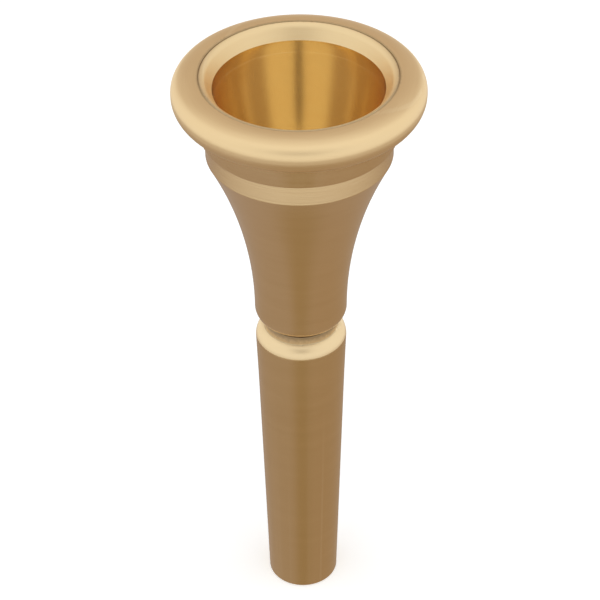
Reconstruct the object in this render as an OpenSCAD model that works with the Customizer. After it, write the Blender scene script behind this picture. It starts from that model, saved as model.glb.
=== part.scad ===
// Horn mouthpiece with a screw-on rim and a screw-in shank, turned from brass.
// The axis is Z, the tip of the shank stands at z = 0 and the rim is on top.

/* [Shank] */
// Outside diameter at the tip
tip_d = 7.85; // [7.4:0.05:9.5]
// Wall at the tip
tip_wall = 0.775; // [0.4:0.025:1.5]
// Length over which the shank's diameter grows by 1
taper = 19.2; // [16:0.1:24]
// Length of the taper that goes into the horn
taper_length = 30; // [20:0.5:38]
// Length of the shank above the taper, up to the joint face where the cup sits
neck_length = 8.15; // [6.5:0.05:14]
// Length over which the diameter grows by 1, above the taper
upper_taper = 15; // [10:0.5:24]
// Radius of the rounded shoulder under the joint
shoulder_round = 1.8; // [1.4:0.1:3]
// Width of the groove between the shoulder and the cup
groove_width = 1.2; // [0.6:0.1:2]
// Bevel on the tip's outer edge
tip_bevel = 0.12; // [0.1:0.01:0.5]

/* [Air way] */
// Diameter of the throat
throat_d = 4.5; // [4:0.1:5]
// Length of the straight throat, down from the top of the shank
throat_length = 8; // [4:0.5:14]
// Diameter of the cup at the bite, the rim's sharp inner edge
bite_d = 17.24; // [16:0.02:17.6]
// Depth of the bite below the top of the rim
bite_depth = 1.5; // [1.2:0.1:1.8]
// Exponent of the cup's outline: 1 is a straight funnel, more is a rounder cup
cup_curve = 1.3; // [1.1:0.05:1.6]
// Step in radius from the throat out to the hole at the bottom of the cup
cup_floor_step = 0.15; // [0.05:0.05:0.2]

/* [Cup] */
// Rounding of the cup's lower end
cup_round = 1.4; // [1:0.1:2]
// Step in radius from the shank's shoulder out to the cup's neck
neck_step = 0.03; // [0:0.01:0.3]
// Radius of the hollow flare between neck and collar
flare_r = 45; // [36:1:60]
// Wall from the bite's radius out to the collar's lower edge
collar_wall = 0.91; // [0.8:0.01:1.5]
// Height of the collar that shows below the rim
collar_h = 2.4; // [2:0.1:5]
// How far the collar draws in towards its top, in radius
collar_draft = 0.2; // [0:0.01:0.3]

/* [Rim] */
// Height of the rim, from the lower edge of its skirt to its top
rim_height = 6.7; // [6.3:0.1:8]
// How far the rolled edge stands out past the skirt
rim_overhang = 2.72; // [2.3:0.02:4]
// Radius of the underside of the rolled edge
rim_roll = 1.75; // [1.5:0.05:1.9]
// Radius of the rolled edge above its widest point
edge_round = 1.5; // [1.2:0.05:1.7]
// How flat the crown on top of the rolled edge is
crown = 2.3; // [1.3:0.1:3]
// Height of the straight part at the rim's widest point
rim_land = 0.2; // [0:0.05:0.4]
// Step in radius from the collar's lower edge out to the skirt
skirt_step = 0.47; // [0.4:0.01:1]
// Step in radius from the collar's lower edge out to the seam around the lip ring
seam_step = 0.42; // [0.3:0.01:0.6]
// Radius where the lip ring's face turns over towards the seam
lip_round = 1.4; // [1.2:0.05:1.6]
// Tilt of the lip ring's face at the seam, in degrees
lip_tilt = 24; // [18:1:30]
// Height of the lip ring's head, which sits in the rim shell
lip_head_h = 2.1; // [1.9:0.1:2.3]
// Height of the lip ring's sleeve below its head
lip_sleeve_h = 0.7; // [0.4:0.1:0.9]
// Bevel on both edges of the seam and on the skirt
seam_bevel = 0.1; // [0.05:0.01:0.2]
// Gap between the lip ring and the end of the cup
seat_gap = 0.02; // [0.01:0.01:0.05]

/* [Screw joints] */
// Pitch of the rim's thread
rim_pitch = 0.6; // [0.5:0.05:0.75]
// Step in radius from the collar's lower edge in to the crest of the rim's thread
rim_thread_step = 0.15; // [0.1:0.01:0.2]
// Pitch of the neck's thread
neck_pitch = 0.75; // [0.6:0.05:1]
// Wall of the spigot between the throat and the root of its thread
spigot_wall = 0.7925; // [0.7:0.0025:1]
// Width of the joint face between the neck's thread and the groove
joint_face = 0.486; // [0.3:0.002:0.8]
// Length of the threaded spigot on the shank
spigot_length = 4.8; // [4:0.1:7]
// Depth of a thread, as a share of its pitch
thread_depth_share = 0.61; // [0.5:0.01:0.65]
// Gap between the two sides of a thread
thread_gap = 0.06; // [0.04:0.01:0.1]
// Gap between plain parts that slide past each other
fit_gap = 0.03; // [0.02:0.01:0.08]
// Thickness of the rim's sealing ring
rim_seal_t = 0.7; // [0.6:0.05:0.9]
// Thickness of the neck's sealing ring
neck_seal_t = 0.6; // [0.5:0.05:0.65]

/* [Hidden] */

$fn = 96;
thread_steps = 24;
bore_steps = 12;
lip_steps = 12;
over = 1;
// How far outside the seam the crown is highest
crest_step = 0.15;
// The thread's ridge: depth of its foot inside the core, half widths as shares of the pitch, gaps
thread_embed = 0.04;
thread_foot_share = 0.36;
thread_crest_share = 0.08;
flank_gap = 0.03;

// Shank heights and radii
tip_r = tip_d / 2;
backbore_r = tip_r - tip_wall;
throat_r = throat_d / 2;
neck_depth = thread_depth_share * neck_pitch;
neck_root_r = throat_r + spigot_wall;
neck_crest_r = neck_root_r + neck_depth;
groove_r = neck_crest_r + joint_face;
shank_length = taper_length + neck_length;
taper_top_r = tip_r + taper_length / (2 * taper);
shoulder_top_z = shank_length - groove_width;
shoulder_top_r = taper_top_r + (shoulder_top_z - taper_length) / (2 * upper_taper);
shoulder_angle = acos(1 - (shoulder_top_r - groove_r) / shoulder_round);
shoulder_z = shoulder_top_z - shoulder_round * sin(shoulder_angle);
shoulder_r = taper_top_r + (shoulder_z - taper_length) / (2 * upper_taper);
spigot_top_z = shank_length + spigot_length;
throat_end_z = spigot_top_z - throat_length;

// Cup heights and radii
bite_r = bite_d / 2;
cup_floor_r = throat_r + cup_floor_step;
neck_r = shoulder_r + neck_step;
cup_round_angle = acos(1 - (neck_r - groove_r) / cup_round);
neck_z = shank_length + cup_round * sin(cup_round_angle);
collar_r = bite_r + collar_wall;
collar_z = neck_z + sqrt(flare_r ^ 2 - (flare_r - collar_r + neck_r) ^ 2);
collar_top_r = collar_r - collar_draft;

// Rim heights and radii
skirt_z = collar_z + collar_h;
top_z = skirt_z + rim_height;
skirt_r = collar_r + skirt_step;
rim_r = skirt_r + rim_overhang;
seam_r = collar_r + seam_step;
crest_r = seam_r + crest_step;
edge_r = rim_r - edge_round;
crown_r = edge_round + crown * (edge_r - crest_r);
crown_end_r = crest_r + crown_r / crown;
roll_z = top_z - crown_r + (edge_r - crest_r) * sqrt(crown ^ 2 - 1);
head_z = top_z - lip_head_h;
seat_z = head_z - lip_sleeve_h;
bite_z = top_z - bite_depth;

// Threads: the outer thread's crest and root, and the inner thread's
rim_depth = thread_depth_share * rim_pitch;
rim_crest_r = collar_r - rim_thread_step;
rim_root_r = rim_crest_r - rim_depth;
rim_bore_r = rim_root_r + thread_gap;
neck_bore_r = neck_root_r + thread_gap;

// Sealing rings and the spaces that hold them
socket_top_z = spigot_top_z + neck_seal_t + 2 * fit_gap;
neck_seal_r = neck_bore_r - fit_gap - neck_seal_t / 2;
gland_top_z = seat_z - seam_bevel;
gland_bottom_z = gland_top_z - rim_seal_t - 2 * fit_gap;
rim_seal_r = rim_root_r + fit_gap + rim_seal_t / 2;
gland_r = rim_seal_r + rim_seal_t / 2 + fit_gap;

// Radius of the air way in the cup at height z
function cup_bore(z) = let (depth = (bite_z - z) / (bite_z - socket_top_z))
    cup_floor_r + (bite_r - cup_floor_r) * (1 - depth ^ cup_curve);

// Points down the air way's wall in the cup, evenly spaced between two heights
function bore_wall(low, high, steps) = [
    for (i = [0:steps]) let (z = high - (high - low) * i / steps) [cup_bore(z), z]
];

// Radius of the corners of a thread's turn whose flats lie at the radius r
function outside(r) = r / cos(180 / thread_steps);

// A helical ridge on the radius root, with its crest at crest. Its middle passes
// through z = 0 on the +X side, and it runs from the height low to the height high.
module thread(root, crest, pitch, low, high, gap) {
    foot = root - thread_embed;
    half_foot = thread_foot_share * pitch + gap + thread_embed / 2;
    half_crest = thread_crest_share * pitch + gap;
    first = floor(low / pitch * thread_steps);
    count = ceil((high - low) / pitch * thread_steps);
    section = [[foot, -half_foot], [crest, -half_crest], [crest, half_crest], [foot, half_foot]];
    points = [
        for (i = [0:count])
            let (turn = (first + i) / thread_steps, angle = 360 * turn)
                for (p = section) [p.x * cos(angle), p.x * sin(angle), p.y + pitch * turn]
    ];
    sides = [
        for (i = [0:count - 1], k = [0:3])
            let (a = 4 * i + k, b = 4 * i + (k + 1) % 4)
                each [[a, b, a + 4], [b, b + 4, a + 4]]
    ];
    last = 4 * count;
    ends = [[3, 2, 1, 0], [last, last + 1, last + 2, last + 3]];
    polyhedron(points, concat(sides, ends));
}

// The shank: tapered tube, rounded shoulder, groove and threaded spigot
module shank() {
    low = shank_length + neck_pitch;
    high = spigot_top_z - neck_pitch;
    color("darkgoldenrod")
    difference() {
        union() {
            rotate_extrude() {
                polygon([
                    [0, 0], [tip_r - tip_bevel, 0], [tip_r + tip_bevel / (2 * taper), tip_bevel],
                    [taper_top_r, taper_length], [shoulder_r, shoulder_z], [0, shoulder_z]
                ]);
                intersection() {
                    translate([shoulder_r - shoulder_round, shoulder_z])
                        circle(shoulder_round);
                    translate([0, shoulder_z])
                        square([shoulder_r + over, shoulder_top_z - shoulder_z]);
                }
                translate([0, taper_length])
                    square([groove_r, shank_length - taper_length]);
                square([neck_root_r, spigot_top_z]);
            }
            thread(neck_root_r, neck_crest_r, neck_pitch, low, high, 0);
        }
        translate([0, 0, -over])
            cylinder(r = throat_r, h = spigot_top_z + 2 * over);
        rotate_extrude()
            polygon([
                [0, -over], [backbore_r, -over], [backbore_r, 0],
                [throat_r, throat_end_z], [0, throat_end_z]
            ]);
    }
}

// A round sealing ring
module seal(middle_r, thickness, z) {
    translate([0, 0, z])
        rotate_extrude()
            translate([middle_r, 0])
                circle(d = thickness, $fn = 48);
}

// The sealing ring between the end of the spigot and the cup
module neck_seal() {
    color("dimgray")
        seal(neck_seal_r, neck_seal_t, (spigot_top_z + socket_top_z) / 2);
}

// The sealing ring between the cup and the rim shell
module rim_seal() {
    color("dimgray")
        seal(rim_seal_r, rim_seal_t, (gland_top_z + gland_bottom_z) / 2);
}

// Outside of the cup: rounded lower end, hollow flare, collar and threaded top
module cup_outline() {
    difference() {
        translate([0, neck_z])
            square([collar_r, collar_z - neck_z]);
        translate([neck_r + flare_r, neck_z])
            circle(flare_r, $fn = 360);
    }
    intersection() {
        union() {
            translate([neck_r - cup_round, neck_z])
                circle(cup_round);
            translate([0, shank_length])
                square([neck_r - cup_round, neck_z + cup_round - shank_length]);
        }
        translate([0, shank_length])
            square([neck_r, neck_z + cup_round - shank_length]);
    }
    polygon([
        [0, collar_z - over], [collar_r - 2 * over, collar_z - over], [collar_r, collar_z],
        [collar_top_r, skirt_z], [0, skirt_z]
    ]);
    translate([0, collar_z])
        square([rim_root_r, seat_z - seat_gap - collar_z]);
}

// The cup: funnel with a threaded socket below and a threaded top
module cup() {
    rim_low = skirt_z + rim_pitch;
    rim_high = gland_bottom_z - rim_pitch * 0.7;
    color("goldenrod")
    difference() {
        union() {
            rotate_extrude()
                cup_outline();
            thread(rim_root_r, rim_crest_r, rim_pitch, rim_low, rim_high, 0);
        }
        rotate_extrude()
            polygon(concat(
                [[0, bite_z]], bore_wall(socket_top_z, bite_z, bore_steps), [[0, socket_top_z]]
            ));
        translate([0, 0, shank_length - over])
            cylinder(r = neck_bore_r, h = socket_top_z - shank_length + over);
        thread(
            neck_bore_r, outside(neck_crest_r + thread_gap), neck_pitch,
            shank_length - neck_pitch / 2, spigot_top_z - neck_pitch / 2, flank_gap
        );
    }
}

// Section of the rolled edge: underside, outer edge and a flatter crown, all tangent
module rim_section() {
    underside_r = rim_r - rim_roll;
    land_z = roll_z - rim_land;
    intersection() {
        translate([underside_r, land_z])
            circle(rim_roll);
        translate([underside_r, land_z - rim_roll])
            square(rim_roll);
    }
    translate([seam_r - over, land_z - rim_roll])
        square([underside_r - seam_r + over, rim_roll]);
    translate([seam_r - over, land_z])
        square([rim_r - seam_r + over, rim_land]);
    intersection() {
        translate([edge_r, roll_z])
            circle(edge_round);
        translate([edge_r, roll_z])
            square(edge_round);
    }
    intersection() {
        translate([crest_r, top_z - crown_r])
            circle(crown_r);
        translate([seam_r - over, roll_z])
            square([crown_end_r - seam_r + over, top_z - roll_z]);
    }
}

// The rim shell: rolled edge and skirt, bored for the lip ring, the seal and the thread
module rim_shell() {
    color("goldenrod")
    difference() {
        rotate_extrude() {
            rim_section();
            polygon([
                [rim_bore_r - over, skirt_z], [skirt_r - seam_bevel, skirt_z],
                [skirt_r, skirt_z + seam_bevel], [skirt_r, roll_z], [rim_bore_r - over, roll_z]
            ]);
        }
        translate([0, 0, skirt_z - over])
            cylinder(r = rim_bore_r, h = rim_height + 2 * over);
        translate([0, 0, head_z])
            cylinder(r = seam_r, h = lip_head_h + over);
        translate([0, 0, gland_bottom_z])
            cylinder(r = gland_r, h = gland_top_z - gland_bottom_z);
        translate([0, 0, top_z - seam_bevel])
            cylinder(r1 = seam_r, r2 = seam_r + seam_bevel + over, h = seam_bevel + over);
        thread(
            rim_bore_r, outside(rim_crest_r + thread_gap), rim_pitch,
            skirt_z - rim_pitch / 2, gland_bottom_z - rim_pitch / 4, flank_gap
        );
    }
}

// The lip ring: rounded face, bite and sleeve
module lip_ring() {
    sleeve_r = rim_bore_r - fit_gap;
    outer = [seam_r - seam_bevel, top_z];
    inner = [bite_r, bite_z];
    centre = outer + lip_round * [sin(lip_tilt), -cos(lip_tilt)];
    reach = norm(centre - inner);
    slope = atan2(centre.y - inner.y, centre.x - inner.x) + asin(lip_round / reach);
    face = [
        for (i = [0:lip_steps])
            let (angle = 90 + lip_tilt + (slope - lip_tilt) * i / lip_steps)
                centre + lip_round * [cos(angle), sin(angle)]
    ];
    color("gold")
    rotate_extrude()
        polygon(concat(
            bore_wall(seat_z, bite_z, 3),
            [[sleeve_r, seat_z], [sleeve_r, head_z], [seam_r, head_z], [seam_r, top_z - seam_bevel]],
            face
        ));
}

shank();
neck_seal();
cup();
rim_seal();
rim_shell();
lip_ring();
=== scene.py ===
"""A turned brass horn mouthpiece: screw-on rim, funnel cup and screw-in tapered shank.

Lengths in the profile tables are millimetres in the CAD frame (axis on Z, tip of the
shank at z = 0); the meshes are built in metres.
"""
import math
from collections import namedtuple

import bpy
import numpy as np
from mathutils import Euler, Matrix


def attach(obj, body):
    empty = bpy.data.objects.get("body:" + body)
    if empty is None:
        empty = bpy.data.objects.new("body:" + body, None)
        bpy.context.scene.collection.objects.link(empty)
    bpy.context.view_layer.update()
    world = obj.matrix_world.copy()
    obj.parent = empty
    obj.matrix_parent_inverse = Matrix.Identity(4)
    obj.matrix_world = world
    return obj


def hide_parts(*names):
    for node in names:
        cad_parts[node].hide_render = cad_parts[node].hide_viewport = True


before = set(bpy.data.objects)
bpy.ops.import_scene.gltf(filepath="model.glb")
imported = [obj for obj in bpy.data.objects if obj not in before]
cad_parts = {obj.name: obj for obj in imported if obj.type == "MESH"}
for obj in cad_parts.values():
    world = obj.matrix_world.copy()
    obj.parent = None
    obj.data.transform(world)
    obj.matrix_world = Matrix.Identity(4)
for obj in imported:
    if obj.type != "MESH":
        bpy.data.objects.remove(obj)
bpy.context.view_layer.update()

MM = 0.001
SEGMENTS = 240  # steps round the axis
THREAD_SEGMENTS = 120  # steps in a turn of a thread
SUPPORT = 0.03  # distance from a corner to its supporting ring, mm
LONGEST_FILLET = 0.45  # the most that a fillet takes of a side, as a share of its length
SAME_POINT = 1e-5  # points of an outline closer than this are one point, mm


# ---------------------------------------------------------------- profiles
def arc(centre, radius, start, end, steps):
    """Points on a circle: centre plus radius times (cos a, sin a), a from start to end, degrees."""
    a = np.radians(np.linspace(start, end, steps + 1))
    return np.column_stack([centre[0] + radius * np.cos(a), centre[1] + radius * np.sin(a)])


def rounded(corners, closed=True, steps=4):
    """A closed outline through corners (r, z, fillet).

    Each corner is replaced by a circular arc of its fillet radius, tangent to both sides.
    A corner with fillet 0 stays as the single point it is, for points that already follow
    a curve. Rings at a small distance from each fillet keep the flat parts flat.
    """
    pts = np.array([c[:2] for c in corners], float)
    fil = np.array([c[2] for c in corners], float)
    n = len(pts)
    out = []
    for i in range(n):
        p, r = pts[i], fil[i]
        if r <= 0:
            out.append(p)
            continue
        a = pts[i - 1] - p
        b = pts[(i + 1) % n] - p
        la, lb = np.hypot(*a), np.hypot(*b)
        ua, ub = a / la, b / lb
        half = math.acos(np.clip(np.dot(ua, ub), -1, 1)) / 2
        d = min(r / math.tan(half), LONGEST_FILLET * la, LONGEST_FILLET * lb)
        r = d * math.tan(half)
        centre = p + (ua + ub) / np.hypot(*(ua + ub)) * (r / math.sin(half))
        s, e = p + ua * d - centre, p + ub * d - centre
        a0, a1 = math.atan2(s[1], s[0]), math.atan2(e[1], e[0])
        sweep = (a1 - a0 + math.pi) % (2 * math.pi) - math.pi
        if la > 3 * d + SUPPORT * 3:
            out.append(p + ua * (d + SUPPORT))
        for t in np.linspace(0, 1, steps + 1):
            ang = a0 + sweep * t
            out.append(centre + r * np.array([math.cos(ang), math.sin(ang)]))
        if lb > 3 * d + SUPPORT * 3:
            out.append(p + ub * (d + SUPPORT))
    out = np.array(out)
    keep = np.hypot(*(out - np.roll(out, 1, axis=0)).T) > SAME_POINT
    return out[keep]


def free(points):
    """Profile points that follow a curve, as corners with no fillet."""
    return [(p[0], p[1], 0.0) for p in points]


# ---------------------------------------------------------------- meshes
def grid_mesh(name, co, wrap_u, wrap_v):
    """A mesh from an array of points co[u, v, xyz], joined into quads along both directions."""
    nu, nv = co.shape[:2]
    u = np.arange(nu if wrap_u else nu - 1)
    v = np.arange(nv if wrap_v else nv - 1)
    uu, vv = np.meshgrid(u, v, indexing="ij")
    un, vn = (uu + 1) % nu, (vv + 1) % nv
    corners = [uu * nv + vv, un * nv + vv, un * nv + vn, uu * nv + vn]
    quads = np.stack(corners, axis=-1).reshape(-1, 4)
    me = bpy.data.meshes.new(name)
    me.vertices.add(nu * nv)
    me.vertices.foreach_set("co", np.ascontiguousarray(co.reshape(-1, 3) * MM, np.float32).ravel())
    me.loops.add(len(quads) * 4)
    me.loops.foreach_set("vertex_index", quads.astype(np.int32).ravel())
    me.polygons.add(len(quads))
    me.polygons.foreach_set("loop_start", np.arange(0, len(quads) * 4, 4, dtype=np.int32))
    me.polygons.foreach_set("use_smooth", np.ones(len(quads), bool))
    me.update(calc_edges=True)
    me.validate()
    return me


def link(name, me, materials):
    """An object at the origin with the mesh me and its materials."""
    ob = bpy.data.objects.new(name, me)
    for m in materials:
        me.materials.append(m)
    bpy.context.scene.collection.objects.link(ob)
    return ob


def lathe(name, outline, materials, inner=None):
    """A turned piece: the closed outline of points (r, z), swept once round the axis.

    A point goes to (r cos t, r sin t, z), with t from 0 to a full turn. inner is a rule
    on (r, z) that gives the index of each face's material.
    """
    outline = np.asarray(outline, float)
    after = np.roll(outline, -1, axis=0)
    if np.sum(outline[:, 0] * after[:, 1] - after[:, 0] * outline[:, 1]) < 0:
        outline = outline[::-1]
    t = np.linspace(0, 2 * math.pi, SEGMENTS, endpoint=False)[:, None]
    r, z = outline[:, 0][None, :], outline[:, 1][None, :]
    co = np.stack([r * np.cos(t), r * np.sin(t), z + 0 * t], axis=-1)
    me = grid_mesh(name, co, True, True)
    ob = link(name, me, materials)
    if inner is not None:
        mid = (outline + np.roll(outline, -1, axis=0)) / 2
        pick = np.tile(inner(mid[:, 0], mid[:, 1]).astype(np.int32), SEGMENTS)
        me.polygons.foreach_set("material_index", pick)
    return ob


def screw_ridge(name, foot, crest, pitch, low, high, materials, phase=0.0):
    """A helical ridge: at angle t its section is moved up by pitch times t / 360 degrees.

    The section is a trapezium from the foot radius to the crest radius with rounded
    corners. Its height above the foot fades to nothing over the first and last quarter
    turn, so the thread runs out smoothly.
    """
    turns = (high - low) / pitch
    nu = int(turns * THREAD_SEGMENTS)
    t = np.linspace(low / pitch, high / pitch, nu + 1)
    fade = np.clip(np.minimum(t - t[0], t[-1] - t) / 0.25, 0.02, 1.0)
    half_w = np.array([0.40, 0.37, 0.30, 0.13, 0.09, 0.05])  # shares of the pitch
    half_h = np.array([-0.15, 0.02, 0.22, 0.88, 0.97, 1.0])  # shares of the ridge's height
    w = np.concatenate([-half_w, half_w[::-1]]) * pitch
    h = np.concatenate([half_h, half_h[::-1]])
    rr = foot + (crest - foot) * h[None, :] * np.where(h > 0, fade[:, None], 1.0)
    ang = 2 * math.pi * (t[:, None] + phase)
    co = np.stack([rr * np.cos(ang), rr * np.sin(ang), pitch * t[:, None] + w[None, :]], axis=-1)
    if crest < foot:
        co = co[:, ::-1]
    return link(name, grid_mesh(name, co, False, True), materials)


# ---------------------------------------------------------------- sizes, mm
def over_arc(radius, drop):
    """Half chord of an arc: how far it runs while it falls away by drop."""
    return math.sqrt(radius**2 - (radius - drop) ** 2)


FIT_GAP = 0.03  # between plain parts that slide past each other
TIP_R, TIP_BEVEL = 3.925, 0.12
BACKBORE_R, THROAT_R = 3.15, 2.25
TAPER, UPPER_TAPER = 19.2, 15.0  # lengths over which the shank's diameter grows by 1
TAPER_Z = 30.0  # top of the taper that goes into the horn
TAPER_R = TIP_R + TAPER_Z / (2 * TAPER)
JOINT_Z = 38.15  # where the cup sits on the shank
GROOVE, GROOVE_R = 1.2, 3.986  # width and radius of the groove under the cup
UNDERCUT = 0.15  # a fine line in the groove, right under the cup
SHOULDER = 1.8  # radius of the shoulder's rounding
SHOULDER_TOP = JOINT_Z - GROOVE
SHOULDER_TOP_R = TAPER_R + (SHOULDER_TOP - TAPER_Z) / (2 * UPPER_TAPER)
SHOULDER_Z = SHOULDER_TOP - over_arc(SHOULDER, SHOULDER_TOP_R - GROOVE_R)
SHOULDER_R = TAPER_R + (SHOULDER_Z - TAPER_Z) / (2 * UPPER_TAPER)
SPIGOT_LENGTH, THROAT_LENGTH = 4.8, 8.0
SPIGOT_Z = JOINT_Z + SPIGOT_LENGTH
THROAT_Z = SPIGOT_Z - THROAT_LENGTH

# Sealing rings: radius of the middle, thickness
NECK_SEAL_R, NECK_SEAL_T = 2.7725, 0.6
RIM_SEAL_R, RIM_SEAL_T = 9.394, 0.7
SOCKET_Z = SPIGOT_Z + NECK_SEAL_T + 2 * FIT_GAP

NECK_STEP, NECK_ROUND = 0.03, 1.4
NECK_R = SHOULDER_R + NECK_STEP
NECK_Z = JOINT_Z + over_arc(NECK_ROUND, NECK_R - GROOVE_R)
FLARE = 45.0  # radius of the hollow flare
COLLAR_R, COLLAR_TOP_R, COLLAR_H = 9.53, 9.33, 2.4
COLLAR_Z = NECK_Z + over_arc(FLARE, COLLAR_R - NECK_R)
SKIRT_Z, SKIRT_R = COLLAR_Z + COLLAR_H, 10.0
RIM_HEIGHT = 6.7
TOP = SKIRT_Z + RIM_HEIGHT

# The rolled edge: radii of its underside and outer edge, flatness of its crown, and the
# height of the straight part between them
RIM_R, ROLL, EDGE, CROWN, LAND = 12.72, 1.75, 1.5, 2.3, 0.2
CREST_R = 10.10  # where the crown is highest
CROWN_R = EDGE + CROWN * (RIM_R - EDGE - CREST_R)
ROLL_Z = TOP - CROWN_R + (RIM_R - EDGE - CREST_R) * math.sqrt(CROWN**2 - 1)
LAND_Z = ROLL_Z - LAND

LIP_HEAD, LIP_SLEEVE = 2.1, 0.7  # heights of the lip ring's head and of its sleeve
LIP_ROUND, LIP_TILT = 1.4, math.radians(24)  # where its face turns over towards the seam
LIP_BEVEL = 0.1
SEAM_R = 9.95
HEAD_Z = TOP - LIP_HEAD
SEAT_Z = HEAD_Z - LIP_SLEEVE
BITE_R, BITE_DEPTH = 8.62, 1.5
BITE_Z = TOP - BITE_DEPTH
FLOOR_R, CUP_CURVE = 2.4, 1.3

# Screw joints: the outer thread's root and crest, the inner thread's bore and root
Thread = namedtuple("Thread", "root crest bore outer pitch")
NECK_THREAD = Thread(3.0425, 3.5, 3.1025, 3.56, 0.75)
RIM_THREAD = Thread(9.014, 9.38, 9.074, 9.44, 0.6)
GLAND_TOP = SEAT_Z - LIP_BEVEL
GLAND_LOW = GLAND_TOP - RIM_SEAL_T - 2 * FIT_GAP
GLAND_R = 9.774


# ---------------------------------------------------------------- shader groups
class Nodes:
    """Short hand for building a node tree."""

    def __init__(self, tree):
        self.tree = tree

    def add(self, kind, **props):
        """A new node of a kind, with its properties set."""
        n = self.tree.nodes.new(kind)
        for k, v in props.items():
            setattr(n, k, v)
        return n

    def join(self, a, b):
        """A link from the output a to the input b."""
        self.tree.links.new(a, b)

    def math(self, op, a, b=None, c=None):
        """The output of a Math node on up to three numbers or outputs."""
        n = self.add("ShaderNodeMath", operation=op)
        for i, x in enumerate((a, b, c)):
            if x is None:
                continue
            if isinstance(x, (int, float)):
                n.inputs[i].default_value = x
            else:
                self.join(x, n.inputs[i])
        return n.outputs[0]

    def mix(self, fac, a, b):
        """The output of a colour mix: a where fac is 0 and b where it is 1."""
        n = self.add("ShaderNodeMix", data_type="RGBA")
        for sock, x in ((n.inputs[0], fac), (n.inputs[6], a), (n.inputs[7], b)):
            if isinstance(x, (int, float)):
                sock.default_value = x
            elif isinstance(x, tuple):
                sock.default_value = (*x, 1.0)
            else:
                self.join(x, sock)
        return n.outputs[2]


def group(name, ins, outs):
    """A shader node group with its sockets, and its input and output nodes."""
    g = bpy.data.node_groups.new(name, "ShaderNodeTree")
    for kind, nm, value in ins:
        s = g.interface.new_socket(name=nm, in_out="INPUT", socket_type=kind)
        s.default_value = value
    for kind, nm in outs:
        g.interface.new_socket(name=nm, in_out="OUTPUT", socket_type=kind)
    k = Nodes(g)
    return g, k, k.add("NodeGroupInput"), k.add("NodeGroupOutput")


def make_turned_grain():
    """Tool marks of a lathe: noise that changes fast along the axis and slowly round it."""
    g, k, gi, go = group(
        "turned_grain",
        [("NodeSocketFloat", "Fineness", 9000.0), ("NodeSocketFloat", "Waver", 260.0)],
        [("NodeSocketFloat", "Marks"), ("NodeSocketFloat", "Bands"), ("NodeSocketFloat", "Dirt")],
    )
    tc = k.add("ShaderNodeTexCoord")
    sep = k.add("ShaderNodeSeparateXYZ")
    k.join(tc.outputs["Object"], sep.inputs[0])
    x, y, z = sep.outputs
    rad = k.math("SQRT", k.math("ADD", k.math("MULTIPLY", x, x), k.math("MULTIPLY", y, y)))
    level = k.math("ADD", z, k.math("MULTIPLY", rad, 0.9))
    along = k.math("MULTIPLY", level, gi.outputs["Fineness"])
    comb = k.add("ShaderNodeCombineXYZ")
    k.join(k.math("MULTIPLY", x, gi.outputs["Waver"]), comb.inputs[0])
    k.join(k.math("MULTIPLY", y, gi.outputs["Waver"]), comb.inputs[1])
    k.join(along, comb.inputs[2])
    fine = k.add("ShaderNodeTexNoise")
    fine.inputs["Scale"].default_value = 1.0
    fine.inputs["Detail"].default_value = 3.0
    fine.inputs["Roughness"].default_value = 0.65
    k.join(comb.outputs[0], fine.inputs["Vector"])
    slow = k.add("ShaderNodeVectorMath", operation="MULTIPLY")
    slow.inputs[1].default_value = (0.4, 0.4, 0.12)
    k.join(comb.outputs[0], slow.inputs[0])
    band = k.add("ShaderNodeTexNoise")
    band.inputs["Scale"].default_value = 1.0
    band.inputs["Detail"].default_value = 2.0
    k.join(slow.outputs[0], band.inputs["Vector"])
    dirt = k.add("ShaderNodeTexNoise")
    dirt.inputs["Scale"].default_value = 160.0
    dirt.inputs["Detail"].default_value = 5.0
    dirt.inputs["Roughness"].default_value = 0.6
    k.join(tc.outputs["Object"], dirt.inputs["Vector"])
    k.join(fine.outputs["Fac"], go.inputs["Marks"])
    k.join(band.outputs["Fac"], go.inputs["Bands"])
    k.join(dirt.outputs["Fac"], go.inputs["Dirt"])
    return g


def make_wear_and_crease_shade():
    """Masks for worn ridges and for creases, whose darkening is painted shade, from how sharply the
    surface turns.
    """
    g, k, gi, go = group(
        "wear_and_crease_shade",
        [("NodeSocketFloat", "Spread", 0.04)],
        [("NodeSocketFloat", "Ridge"), ("NodeSocketFloat", "Crease")],
    )
    geo = k.add("ShaderNodeNewGeometry")
    off = k.math("SUBTRACT", geo.outputs["Pointiness"], 0.5)
    for sign, name in ((1.0, "Ridge"), (-1.0, "Crease")):
        m = k.math("DIVIDE", k.math("MULTIPLY", off, sign), gi.outputs["Spread"])
        c = k.add("ShaderNodeClamp")
        k.join(m, c.inputs[0])
        k.join(c.outputs[0], go.inputs[name])
    return g


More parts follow.
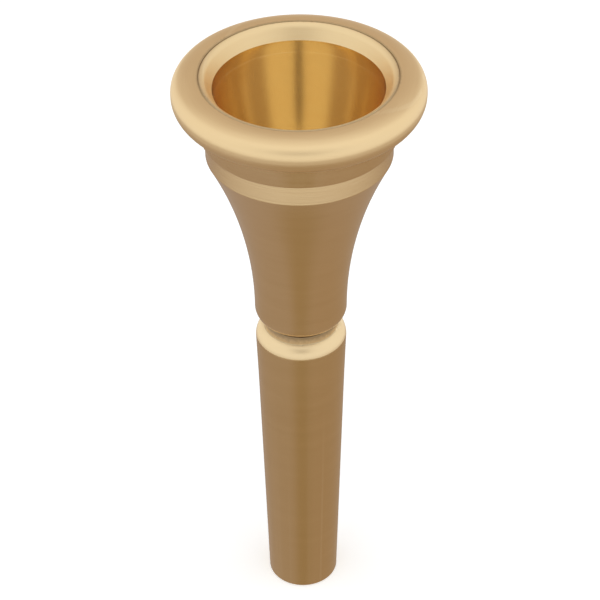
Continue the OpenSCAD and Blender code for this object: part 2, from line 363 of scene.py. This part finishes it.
def make_joint_shade():
    """Mask for painted shade in a joint: 1 on the circle of radius Ring at Height, 0 from Width
    away.
    """
    g, k, gi, go = group(
        "joint_shade",
        [
            ("NodeSocketFloat", "Ring", 0.004),
            ("NodeSocketFloat", "Height", 0.038),
            ("NodeSocketFloat", "Width", 0.0002),
        ],
        [("NodeSocketFloat", "Mask")],
    )
    tc = k.add("ShaderNodeTexCoord")
    sep = k.add("ShaderNodeSeparateXYZ")
    k.join(tc.outputs["Object"], sep.inputs[0])
    x, y, z = sep.outputs
    rad = k.math("SQRT", k.math("ADD", k.math("MULTIPLY", x, x), k.math("MULTIPLY", y, y)))
    dr = k.math("SUBTRACT", rad, gi.outputs["Ring"])
    dz = k.math("SUBTRACT", z, gi.outputs["Height"])
    d = k.math("SQRT", k.math("ADD", k.math("MULTIPLY", dr, dr), k.math("MULTIPLY", dz, dz)))
    n = k.add("ShaderNodeTexNoise")
    n.inputs["Scale"].default_value = 2500.0
    n.inputs["Detail"].default_value = 3.0
    k.join(tc.outputs["Object"], n.inputs["Vector"])
    rough = k.math("MULTIPLY", gi.outputs["Width"], k.math("ADD", n.outputs["Fac"], 0.5))
    c = k.add("ShaderNodeClamp")
    k.join(k.math("SUBTRACT", 1.0, k.math("DIVIDE", d, rough)), c.inputs[0])
    k.join(c.outputs[0], go.inputs["Mask"])
    return g


GRAIN = make_turned_grain()
WEAR_AND_CREASE_SHADE = make_wear_and_crease_shade()
JOINT_SHADE_MASK = make_joint_shade()
JOINT_SHADE_COLOUR = (0.14, 0.08, 0.035)  # colour of the painted shade in the joints
# Joints darkened with painted shade: radius, height and reach in metres, strength
NECK_JOINT = (GROOVE_R * MM, (JOINT_Z - 0.15) * MM, 0.00080, 0.7)
CUP_END = ((GROOVE_R + 0.25) * MM, (JOINT_Z + 0.15) * MM, 0.00090, 0.9)
SKIRT_JOINT = (9.5 * MM, SKIRT_Z * MM, 0.00025, 0.4)
ROLL_CREASE = (SKIRT_R * MM, (LAND_Z - ROLL) * MM, 0.00060, 0.8)
LIP_SEAM = (SEAM_R * MM, (TOP - 0.02) * MM, 0.00022, 0.5)


def brass(name, colour, deep, light, rough, spread, bump, fineness=9000.0, joints=(), metal=1.0):
    """Turned brass: grain in colour, roughness and bump, paler worn ridges, and painted shade in
    creases and at the joints given.
    """
    m = bpy.data.materials.new(name)
    m.use_nodes = True
    t = m.node_tree
    t.nodes.clear()
    k = Nodes(t)
    out = k.add("ShaderNodeOutputMaterial")
    p = k.add("ShaderNodeBsdfPrincipled")
    k.join(p.outputs[0], out.inputs[0])
    p.inputs["Metallic"].default_value = metal
    p.inputs["Anisotropic"].default_value = 0.2
    g = k.add("ShaderNodeGroup", node_tree=GRAIN)
    g.inputs["Fineness"].default_value = fineness
    g.inputs["Waver"].default_value = 260.0
    w = k.add("ShaderNodeGroup", node_tree=WEAR_AND_CREASE_SHADE)
    c1 = k.mix(k.math("MULTIPLY", g.outputs["Bands"], 0.8), deep, colour)
    c2 = k.mix(k.math("MULTIPLY", g.outputs["Marks"], 0.35), c1, light)
    c3 = k.mix(k.math("MULTIPLY", w.outputs["Ridge"], 0.35), c2, light)
    # Creases darkened towards a deep brown: painted shade.
    c4 = k.mix(k.math("MULTIPLY", w.outputs["Crease"], 0.5), c3, tuple(0.35 * v for v in deep))
    # Painted shade at the joints: each joint's ring is mixed towards a dark brown.
    mask = None
    for ring, height, width, strength in joints:
        j = k.add("ShaderNodeGroup", node_tree=JOINT_SHADE_MASK)
        for key, value in (("Ring", ring), ("Height", height), ("Width", width)):
            j.inputs[key].default_value = value
        one = k.math("MULTIPLY", j.outputs["Mask"], strength)
        mask = one if mask is None else k.math("MAXIMUM", mask, one)
    if mask is not None:
        c4 = k.mix(mask, c4, JOINT_SHADE_COLOUR)
    k.join(c4, p.inputs["Base Color"])
    r1 = k.math("MULTIPLY_ADD", k.math("SUBTRACT", g.outputs["Marks"], 0.5), spread, rough)
    r2 = k.math("MULTIPLY_ADD", k.math("SUBTRACT", g.outputs["Dirt"], 0.5), spread * 0.8, r1)
    k.join(r2, p.inputs["Roughness"])
    tan = k.add("ShaderNodeTangent", direction_type="RADIAL", axis="Z")
    k.join(tan.outputs[0], p.inputs["Tangent"])
    b = k.add("ShaderNodeBump")
    b.inputs["Strength"].default_value = bump
    b.inputs["Distance"].default_value = 0.00001
    k.join(k.math("MULTIPLY_ADD", g.outputs["Bands"], 0.6, g.outputs["Marks"]), b.inputs["Height"])
    k.join(b.outputs[0], p.inputs["Normal"])
    return m


def rubber(name):
    """Black rubber: fine mottling in colour and roughness, and a soft grain in the surface."""
    m = bpy.data.materials.new(name)
    m.use_nodes = True
    t = m.node_tree
    t.nodes.clear()
    k = Nodes(t)
    out = k.add("ShaderNodeOutputMaterial")
    p = k.add("ShaderNodeBsdfPrincipled")
    k.join(p.outputs[0], out.inputs[0])
    g = k.add("ShaderNodeGroup", node_tree=GRAIN)
    g.inputs["Fineness"].default_value = 3000.0
    g.inputs["Waver"].default_value = 3000.0
    tone = k.mix(g.outputs["Dirt"], (0.012, 0.012, 0.013), (0.05, 0.048, 0.045))
    k.join(tone, p.inputs["Base Color"])
    k.join(k.math("MULTIPLY_ADD", g.outputs["Marks"], 0.3, 0.4), p.inputs["Roughness"])
    b = k.add("ShaderNodeBump")
    b.inputs["Strength"].default_value = 0.3
    b.inputs["Distance"].default_value = 0.00002
    k.join(g.outputs["Marks"], b.inputs["Height"])
    k.join(b.outputs[0], p.inputs["Normal"])
    return m


SATIN = brass(
    "satin_brass",
    colour=(0.80, 0.575, 0.305), deep=(0.72, 0.50, 0.25), light=(0.88, 0.68, 0.42),
    rough=0.21, spread=0.10, bump=0.28,
    joints=(CUP_END, SKIRT_JOINT, ROLL_CREASE, LIP_SEAM),
)
SHANK = brass(
    "shank_brass",
    colour=(0.78, 0.55, 0.275), deep=(0.70, 0.48, 0.225), light=(0.86, 0.66, 0.39),
    rough=0.24, spread=0.10, bump=0.30,
)
# A paler copy of the shank's brass on the shoulder, to make its highlight brighter: painted
# highlight.
SHOULDER_BRASS = brass(
    "shoulder_brass",
    colour=(0.92, 0.70, 0.40), deep=(0.85, 0.62, 0.34), light=(0.98, 0.80, 0.52),
    rough=0.42, spread=0.12, bump=0.35,
    joints=(NECK_JOINT,),
)
# Paler than the satin brass, to make the rolled edge's highlights brighter: painted highlight.
RIM = brass(
    "rim_brass",
    colour=(0.91, 0.67, 0.365), deep=(0.84, 0.60, 0.31), light=(0.98, 0.78, 0.48),
    rough=0.46, spread=0.12, bump=0.35,
    joints=(ROLL_CREASE, LIP_SEAM),
)
# Paler than the satin brass, to make the lip ring's highlights brighter: painted highlight.
LIP = brass(
    "lip_brass",
    colour=(0.89, 0.67, 0.37), deep=(0.83, 0.60, 0.31), light=(0.95, 0.77, 0.49),
    rough=0.46, spread=0.10, bump=0.3,
    joints=(LIP_SEAM,),
)
GOLD = brass(
    "cup_gold",
    colour=(0.92, 0.75, 0.46), deep=(0.89, 0.70, 0.40), light=(0.94, 0.80, 0.52),
    rough=0.14, spread=0.05, bump=0.15, fineness=6000.0, metal=0.96,
)
RUBBER = rubber("seal_rubber")


# ---------------------------------------------------------------- pieces
def cup_wall(z):
    """Radius of the funnel: the floor's, plus the rest times 1 less a power of the depth.

    The depth goes from 0 at the bite to 1 at the floor, and the power is CUP_CURVE.
    """
    d = (BITE_Z - z) / (BITE_Z - SOCKET_Z)
    return FLOOR_R + (BITE_R - FLOOR_R) * (1 - d**CUP_CURVE)


def backbore(z):
    """Radius of the air way in the shank: a cone from the tip to the throat, then straight."""
    return THROAT_R + (BACKBORE_R - THROAT_R) * np.clip(1 - z / THROAT_Z, 0, 1)


NEAR = 0.02  # faces this close to the air way's wall are part of it, mm
shoulder_end = math.degrees(math.acos(1 - (SHOULDER_R - GROOVE_R) / SHOULDER))
shank = lathe(
    "shank_body",
    rounded(
        [
            (BACKBORE_R, 0, 0.08),
            (TIP_R - TIP_BEVEL, 0, 0.10),
            (TIP_R, TIP_BEVEL, 0.10),
            (TAPER_R, TAPER_Z, 0),
        ]
        + free(arc((SHOULDER_R - SHOULDER, SHOULDER_Z), SHOULDER, 0, shoulder_end, 24))
        + [
            (GROOVE_R, SHOULDER_TOP + 0.05, 0),
            (GROOVE_R, JOINT_Z - 0.26, 0.06),
            (GROOVE_R - UNDERCUT, JOINT_Z - 0.20, 0.03),
            (GROOVE_R - UNDERCUT, JOINT_Z - 0.02, 0.03),
            (NECK_THREAD.root, JOINT_Z - 0.02, 0.1),
            (NECK_THREAD.root, SPIGOT_Z, 0.2),
            (THROAT_R, SPIGOT_Z, 0.15),
            (THROAT_R, THROAT_Z, 1.5),
        ]
    ),
    [SHANK, GOLD, SHOULDER_BRASS],
    # Faces above the shoulder's start take the paler shoulder brass: painted highlight.
    lambda r, z: np.where(r < backbore(z) + NEAR, 1, np.where(z > SHOULDER_Z + 0.25, 2, 0)),
)

neck_end = -math.degrees(math.acos(1 - (NECK_R - GROOVE_R) / NECK_ROUND))
flare_end = 180 - math.degrees(math.acos((NECK_R + FLARE - COLLAR_R) / FLARE))
bore_z = np.linspace(SEAT_Z, SOCKET_Z, 50)[1:-1]
cup = lathe(
    "cup_body",
    rounded(
        [(NECK_THREAD.outer, JOINT_Z, 0.12)]
        + free(arc((NECK_R - NECK_ROUND, NECK_Z), NECK_ROUND, neck_end, 0, 20))
        + free(arc((NECK_R + FLARE, NECK_Z), FLARE, 180, flare_end, 60)[1:-1])
        + [
            (COLLAR_R, COLLAR_Z, 0.1),
            (COLLAR_TOP_R, SKIRT_Z - 0.02, 0.04),
            (RIM_THREAD.root, SKIRT_Z - 0.02, 0.03),
            (RIM_THREAD.root, SEAT_Z - 0.003, 0.12),
            (cup_wall(SEAT_Z), SEAT_Z - 0.003, 0.005),
        ]
        + free(np.column_stack([cup_wall(bore_z), bore_z]))
        + [(FLOOR_R, SOCKET_Z, 0.05), (NECK_THREAD.outer, SOCKET_Z, 0.1)]
    ),
    [SATIN, GOLD],
    lambda r, z: (z > SOCKET_Z + 0.05) & (r < cup_wall(np.clip(z, SOCKET_Z, BITE_Z)) + NEAR),
)

crown_end = math.degrees(math.acos(1 / CROWN))
rim_shell = lathe(
    "rim_shell_body",
    rounded(
        [
            (RIM_THREAD.outer, SKIRT_Z, 0.05),
            (SKIRT_R, SKIRT_Z, 0.12),
            (SKIRT_R, LAND_Z - ROLL, 0.30),
        ]
        + free(arc((RIM_R - ROLL, LAND_Z), ROLL, -90, 0, 40))
        + free(arc((RIM_R - EDGE, ROLL_Z), EDGE, 0, crown_end, 24)[:-1])
        + free(arc((CREST_R, TOP - CROWN_R), CROWN_R, crown_end, 90, 30))
        + [
            (SEAM_R + 0.01, TOP, 0.06),
            (SEAM_R + 0.01, HEAD_Z, 0.05),
            (RIM_THREAD.bore, HEAD_Z, 0.05),
            (RIM_THREAD.bore, GLAND_TOP, 0.03),
            (GLAND_R, GLAND_TOP, 0.05),
            (GLAND_R, GLAND_LOW, 0.05),
            (RIM_THREAD.outer, GLAND_LOW, 0.05),
        ]
    ),
    [SATIN, RIM],
    # The rolled edge above its underside takes the paler rim brass: painted highlight.
    lambda r, z: z > LAND_Z - ROLL + 0.01,
)

# The lip ring's face: an arc that ends level at the seam, and its tangent from the bite
lip_out = np.array([SEAM_R - LIP_BEVEL, TOP])
lip_c = lip_out + LIP_ROUND * np.array([math.sin(LIP_TILT), -math.cos(LIP_TILT)])
across = lip_c - np.array([BITE_R, BITE_Z])
lip_slope = math.atan2(across[1], across[0]) + math.asin(LIP_ROUND / np.hypot(*across))
lip_arc = arc(lip_c, LIP_ROUND, 90 + math.degrees(LIP_TILT), 90 + math.degrees(lip_slope), 30)
wall_z = np.linspace(BITE_Z, SEAT_Z, 8)[1:-1]
lip_ring = lathe(
    "lip_ring_body",
    rounded(
        [
            (RIM_THREAD.bore - FIT_GAP, SEAT_Z, 0.05),
            (RIM_THREAD.bore - FIT_GAP, HEAD_Z, 0.03),
            (SEAM_R, HEAD_Z, 0.05),
            (SEAM_R, TOP - LIP_BEVEL, 0.04),
        ]
        + free(lip_arc[1:])
        + [(BITE_R, BITE_Z, 0.08)]
        + free(np.column_stack([cup_wall(wall_z), wall_z]))
        + [(cup_wall(SEAT_Z), SEAT_Z, 0.005)]
    ),
    [LIP, GOLD],
    lambda r, z: (z < BITE_Z) & (r < cup_wall(np.minimum(z, BITE_Z)) + NEAR),
)


def seal(name, r, z, thickness):
    """A round sealing ring: a circle of 48 points at radius r and height z, swept round."""
    return lathe(name, arc((r, z), thickness / 2, 0, 352.5, 47), [RUBBER])


neck_seal = seal("neck_seal_ring", NECK_SEAL_R, SPIGOT_Z + NECK_SEAL_T / 2 + FIT_GAP, NECK_SEAL_T)
rim_seal = seal("rim_seal_ring", RIM_SEAL_R, GLAND_LOW + RIM_SEAL_T / 2 + FIT_GAP, RIM_SEAL_T)


def outer_thread(name, t, low, high, material):
    """The ridge of an outer thread, between two heights."""
    return screw_ridge(name, t.root, t.crest, t.pitch, low, high, [material])


def inner_thread(name, t, low, high, material):
    """The ridge of an inner thread, half a turn on, so that it fills the outer one's gaps."""
    return screw_ridge(name, t.outer, t.bore, t.pitch, low, high, [material], phase=0.5)


p = NECK_THREAD.pitch
shank_thread = outer_thread("shank_thread", NECK_THREAD, JOINT_Z + p, SPIGOT_Z - p, SHANK)
socket_thread = inner_thread(
    "cup_socket_thread", NECK_THREAD, JOINT_Z + 0.4 * p, SPIGOT_Z - p / 2, SATIN
)
p = RIM_THREAD.pitch
cup_thread = outer_thread("cup_rim_thread", RIM_THREAD, SKIRT_Z + p, GLAND_LOW - p * 0.7, SATIN)
rim_thread = inner_thread(
    "rim_shell_thread", RIM_THREAD, SKIRT_Z + 0.4 * p, GLAND_LOW - p / 2, SATIN
)

for ob, body, slot in (
    (shank, "shank", "shank_brass"),
    (shank_thread, "shank", "shank_brass"),
    (neck_seal, "neck_seal", "seal_rubber"),
    (cup, "cup", "cup_brass"),
    (socket_thread, "cup", "cup_brass"),
    (cup_thread, "cup", "cup_brass"),
    (rim_seal, "rim_seal", "seal_rubber"),
    (rim_shell, "rim", "rim_brass"),
    (rim_thread, "rim", "rim_brass"),
    (lip_ring, "rim", "lip_brass"),
):
    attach(ob, body)
for ob, node in (
    (shank, "shank"),
    (neck_seal, "neck_seal"),
    (cup, "cup"),
    (rim_seal, "rim_seal"),
    (rim_shell, "rim_shell"),
    (lip_ring, "lip_ring"),
):
    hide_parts(node)


# ---------------------------------------------------------------- stage
def make_floor():
    """A pale floor that glows a little and that the metal doesn't mirror."""
    s = 3.0  # half its width, m
    me = bpy.data.meshes.new("floor")
    me.from_pydata([(-s, -s, 0), (s, -s, 0), (s, s, 0), (-s, s, 0)], [], [(0, 1, 2, 3)])
    m = bpy.data.materials.new("floor_paper")
    m.use_nodes = True
    k = Nodes(m.node_tree)
    b = m.node_tree.nodes["Principled BSDF"]
    b.inputs["Roughness"].default_value = 0.9
    b.inputs["Specular IOR Level"].default_value = 0.0
    b.inputs["Emission Strength"].default_value = 0.30
    n = k.add("ShaderNodeTexNoise")
    n.inputs["Scale"].default_value = 900.0
    paper = k.mix(n.outputs["Fac"], (0.93, 0.93, 0.925), (0.95, 0.95, 0.945))
    k.join(paper, b.inputs["Base Color"])
    b.inputs["Emission Color"].default_value = (1, 1, 1, 1)
    ob = link("floor", me, [m])
    ob.visible_glossy = False


def make_world():
    """Soft light: a bright dome that reaches below the horizon, over a warm, dim ground."""
    w = bpy.data.worlds.new("studio")
    bpy.context.scene.world = w
    w.use_nodes = True
    t = w.node_tree
    t.nodes.clear()
    k = Nodes(t)
    out = k.add("ShaderNodeOutputWorld")
    bg = k.add("ShaderNodeBackground")
    k.join(bg.outputs[0], out.inputs[0])
    tc = k.add("ShaderNodeTexCoord")
    sep = k.add("ShaderNodeSeparateXYZ")
    k.join(tc.outputs["Generated"], sep.inputs[0])
    x, y, z = sep.outputs

    def smooth(value, a, b, to_a, to_b):
        """to_a below a and to_b above b, with a smooth step between them."""
        n = k.add("ShaderNodeMapRange", interpolation_type="SMOOTHSTEP")
        for i, v in enumerate((a, b, to_a, to_b)):
            n.inputs[i + 1].default_value = v
        k.join(value, n.inputs[0])
        return n.outputs[0]

    def patch(elevation, way, inner, outer):
        """1 within the angle inner of a direction in the YZ plane, and 0 from outer on."""
        e = math.radians(elevation)
        dot = k.math(
            "ADD", k.math("MULTIPLY", y, way * math.cos(e)), k.math("MULTIPLY", z, math.sin(e))
        )
        return smooth(dot, math.cos(math.radians(outer)), math.cos(math.radians(inner)), 0.0, 1.0)

    # The ground is cooler on the left, warmer on the right and dimmer in the front's middle
    ground = k.mix(smooth(x, -0.7, 0.7, 0.0, 1.0), (0.45, 0.385, 0.345), (0.44, 0.355, 0.28))
    near_middle = smooth(k.math("ABSOLUTE", x), 0.05, 0.40, 1.0, 0.0)
    in_front = smooth(y, -0.1, 0.1, 1.0, 0.0)
    ground = k.mix(k.math("MULTIPLY", near_middle, in_front), ground, (0.395, 0.315, 0.215))
    # The sky is dimmer behind the object, and a small dark opening in front of it gives the
    # cup its streak
    sky = k.mix(patch(33, 1, 22, 52), (1.0, 1.04, 1.08), (0.54, 0.47, 0.42))
    sky = k.mix(patch(37, -1, 6, 17), sky, (0.10, 0.05, 0.01))
    up = smooth(z, -0.50, -0.43, 0.0, 1.0)
    k.join(k.mix(up, ground, sky), bg.inputs["Color"])
    bg.inputs["Strength"].default_value = 1.0


make_floor()
make_world()

CAMERA_DOWN, CAMERA_ROLL = 38.88, -0.54  # degrees
CAMERA_ABOVE = 112.54  # height over the top of the rim, mm
cam = bpy.data.cameras.new("camera")
cam.lens = 126.3
cam.sensor_width = 36.0
cam.clip_start, cam.clip_end = 0.01, 10.0
cam_ob = bpy.data.objects.new("camera", cam)
cam_ob.rotation_mode = "XYZ"
cam_ob.location = (-0.00009, -0.17499, (TOP + CAMERA_ABOVE) * MM)
base = Euler((math.radians(90 - CAMERA_DOWN), 0, 0)).to_matrix()
roll = Euler((0, 0, math.radians(CAMERA_ROLL))).to_matrix()
cam_ob.rotation_euler = (base @ roll).to_euler("XYZ")
bpy.context.scene.collection.objects.link(cam_ob)
bpy.context.scene.camera = cam_ob
bpy.context.scene.view_settings.view_transform = "Standard"
bpy.context.scene.cycles.glossy_bounces = 12
bpy.context.scene.cycles.max_bounces = 16
